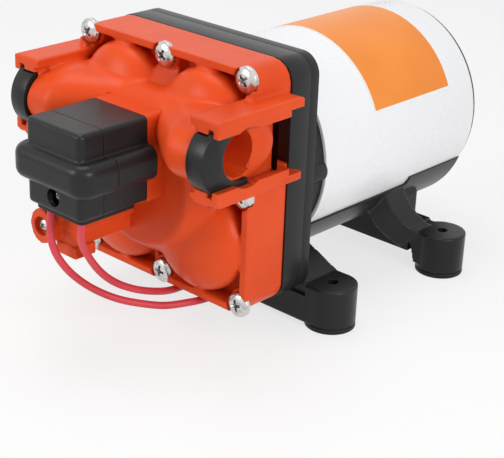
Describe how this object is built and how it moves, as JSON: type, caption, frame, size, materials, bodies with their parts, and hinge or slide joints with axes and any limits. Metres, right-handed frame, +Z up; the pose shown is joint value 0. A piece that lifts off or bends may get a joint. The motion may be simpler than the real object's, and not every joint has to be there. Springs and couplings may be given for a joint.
{
  "type": "caravan water pump",
  "caption": "Diaphragm water pump with a pressure switch, sliding port clips and an electric motor on a footed cradle.",
  "frame": {"origin": "middle of the four foot holes, on the surface the feet stand on", "axes": "+X across towards the outlet port, +Y from the head back along the motor, +Z up"},
  "size_m": [0.1278, 0.2191, 0.116],
  "materials": {
    "orange_plastic": "semi-gloss moulded plastic",
    "black_plastic": "satin moulded plastic",
    "grey_metal": "dark grey painted casting",
    "white_sleeve": "smooth white",
    "orange_label": "printed sheet, bare",
    "chrome_screw": "polished",
    "steel": "turned",
    "copper": "enamelled wire",
    "brass_contact": "plain",
    "ferrite": "sintered",
    "black_rubber": "matt",
    "red_lead": "silicone insulation"
  },
  "bodies": {
    "pump_body": {"pump_head": "orange_plastic", "head_screws": "chrome_screw", "valve_plate": "black_plastic", "inlet_valves": "black_rubber", "outlet_valve": "black_rubber", "valve_seals": "black_rubber", "diaphragm": "black_rubber", "diaphragm_housing": "black_plastic", "drive_housing": "black_plastic", "flange_screws": "steel", "motor_front_flange": "grey_metal", "front_bearing": "steel", "rear_bearing": "steel", "motor_can": "steel", "motor_sleeve": "white_sleeve", "label_panel": "orange_label", "magnets": "ferrite", "tie_bolts": "steel", "rear_end_bell": "grey_metal", "brush_holder": "black_plastic", "brushes": "ferrite", "brush_springs": "steel", "motor_straps": "brass_contact", "base_bracket": "black_plastic", "foot_pads": "black_rubber", "base_screws": "steel", "switch_cover_front": "black_plastic", "switch_cover_rear": "black_plastic", "cable_seal": "black_rubber", "switch_base": "orange_plastic", "switch_base_screws": "chrome_screw", "switch_diaphragm": "black_rubber", "micro_switch": "black_plastic", "switch_spring": "steel", "switch_frame": "black_plastic", "switch_terminals": "brass_contact", "lead_grommet": "black_rubber", "outer_lead": "red_lead", "inner_lead": "red_lead"},
    "inlet_clip": {"inlet_clip": "black_plastic"},
    "outlet_clip": {"outlet_clip": "black_plastic"},
    "rotor": {"motor_shaft": "steel", "rotor_core": "steel", "rotor_windings": "copper", "commutator": "copper", "drive_cam": "steel"},
    "wobble_unit": {"wobble_plate": "black_plastic", "wobble_bearing": "steel", "piston_heads": "black_plastic", "piston_screws": "steel"},
    "pressure_piston": {"switch_piston": "black_plastic"},
    "switch_button": {"switch_button": "black_plastic"},
    "adjusting_screw": {"adjusting_screw": "chrome_screw"}
  },
  "joints": [
    {"name": "inlet_clip_slide", "type": "slide", "parent": "pump_body", "child": "inlet_clip", "axis": [0, 1, 0], "range_m": [0, 0.007]},
    {"name": "outlet_clip_slide", "type": "slide", "parent": "pump_body", "child": "outlet_clip", "axis": [0, 1, 0], "range_m": [0, 0.007]},
    {"name": "shaft_spin", "type": "hinge", "parent": "pump_body", "child": "rotor", "pos_m": [0, 0, 0.063], "axis": [0, 1, 0], "continuous": true},
    {"name": "wobble_turn", "type": "hinge", "parent": "rotor", "child": "wobble_unit", "pos_m": [0, -0.052, 0.063], "axis": [0, 0.999, 0.0436], "continuous": true, "deforming": ["diaphragm"]},
    {"name": "pressure_piston_slide", "type": "slide", "parent": "pump_body", "child": "pressure_piston", "axis": [0, -1, 0], "range_m": [0, 0.0012], "stiffness_N_per_m": 2000, "deforming": ["switch_spring"]},
    {"name": "switch_button_slide", "type": "slide", "parent": "pump_body", "child": "switch_button", "axis": [0, -1, 0], "range_m": [0, 0.00096]},
    {"name": "adjusting_screw_turn", "type": "hinge", "parent": "pump_body", "child": "adjusting_screw", "pos_m": [0, -0.1295, 0.0674], "axis": [0, 1, 0], "range_deg": [-180, 180]}
  ],
  "couplings": [
    {"joint": "wobble_turn", "follows": "shaft_spin", "ratio": -1},
    {"joint": "switch_button_slide", "follows": "pressure_piston_slide", "ratio": 0.8}
  ]
}
